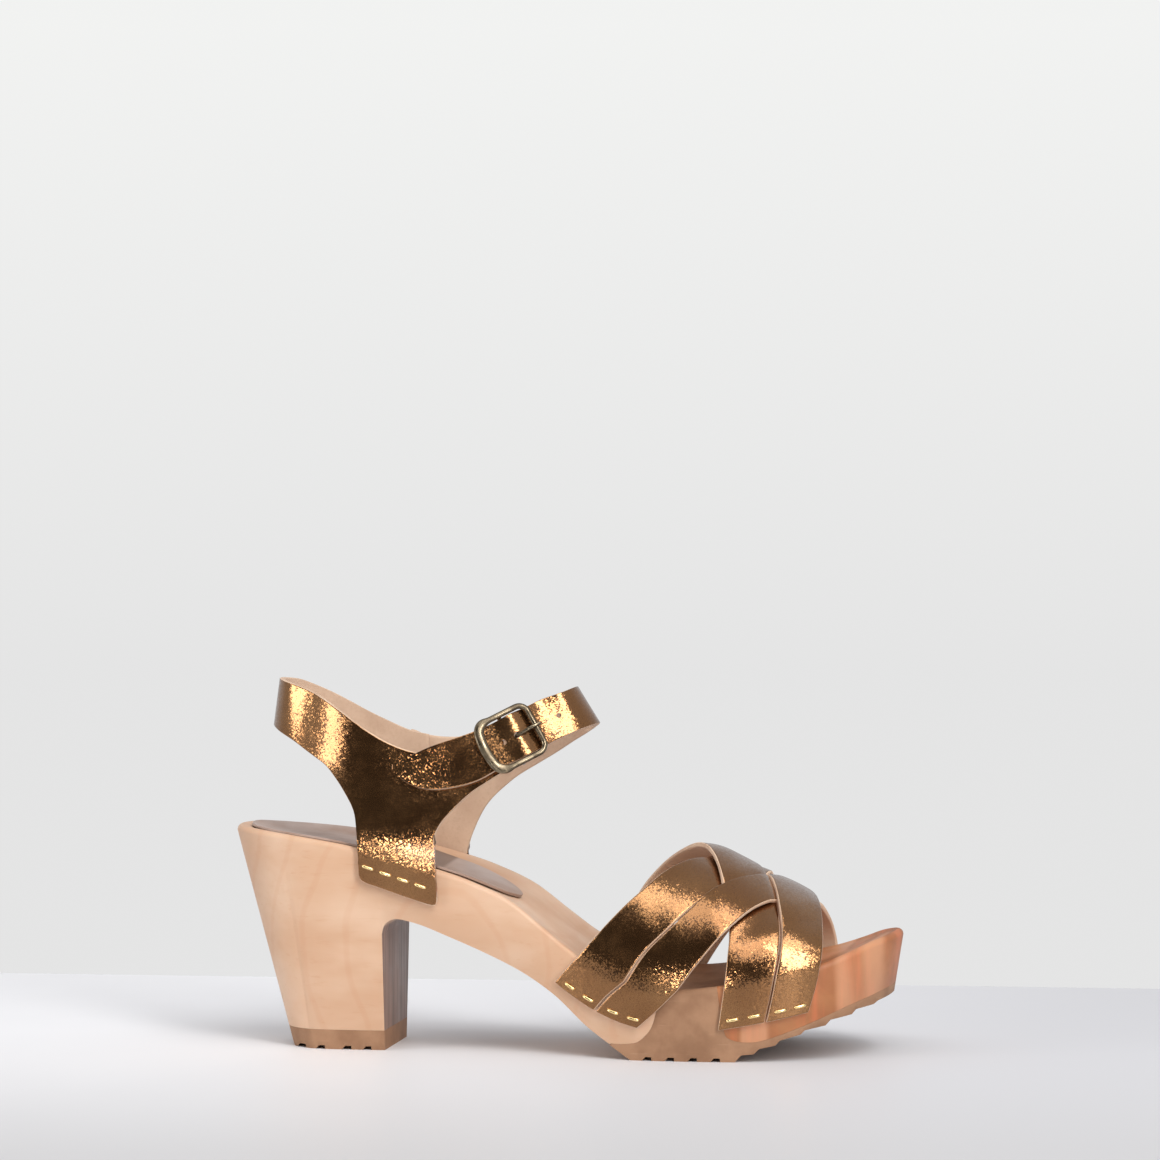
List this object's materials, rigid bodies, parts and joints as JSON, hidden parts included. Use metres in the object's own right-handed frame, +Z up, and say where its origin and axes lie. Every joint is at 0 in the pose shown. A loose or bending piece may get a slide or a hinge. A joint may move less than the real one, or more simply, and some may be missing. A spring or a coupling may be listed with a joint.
{
  "type": "clog sandal",
  "caption": "Right-foot clog sandal with a carved wooden sole and block heel, a bending rubber forefoot, woven metallic leather toe straps and a buckled ankle strap.",
  "frame": {"origin": "centre of the heel lift's bottom face, on the floor", "axes": "+X to the toe, +Y to the inner side of the foot, +Z up"},
  "size_m": [0.2374, 0.0963, 0.1305],
  "materials": {
    "alder_wood": "waxed bare alder, satin",
    "tan_rubber": "matt moulded rubber",
    "bronze_leather": "crackled bronze metallic foil on cowhide, raw cut edges",
    "sock_leather": "plain smooth leather, matt",
    "aged_brass": "aged brass",
    "bright_brass": "bright brass wire"
  },
  "bodies": {
    "root": {"rear_wood_block": "alder_wood", "toe_wood_block": "alder_wood", "forefoot_outsole": "tan_rubber", "heel_lift": "tan_rubber", "heel_sock": "sock_leather", "woven_vamp": "bronze_leather", "quarter_heel_strap": "bronze_leather", "ankle_strap": "bronze_leather", "buckle_frame": "aged_brass", "buckle_prong": "aged_brass", "staple_rear_a_outer_1": "bright_brass", "staple_rear_a_outer_2": "bright_brass", "staple_rear_a_inner_1": "bright_brass", "staple_rear_a_inner_2": "bright_brass", "staple_rear_b_outer_1": "bright_brass", "staple_rear_b_outer_2": "bright_brass", "staple_rear_b_inner_1": "bright_brass", "staple_rear_b_inner_2": "bright_brass", "staple_front_a_outer_1": "bright_brass", "staple_front_a_outer_2": "bright_brass", "staple_front_a_inner_1": "bright_brass", "staple_front_a_inner_2": "bright_brass", "staple_front_b_outer_1": "bright_brass", "staple_front_b_outer_2": "bright_brass", "staple_front_b_inner_1": "bright_brass", "staple_front_b_inner_2": "bright_brass", "staple_tab_outer_1": "bright_brass", "staple_tab_outer_2": "bright_brass", "staple_tab_outer_3": "bright_brass", "staple_tab_outer_4": "bright_brass", "staple_tab_inner_1": "bright_brass", "staple_tab_inner_2": "bright_brass", "staple_tab_inner_3": "bright_brass", "staple_tab_inner_4": "bright_brass"}
  },
  "joints": []
}
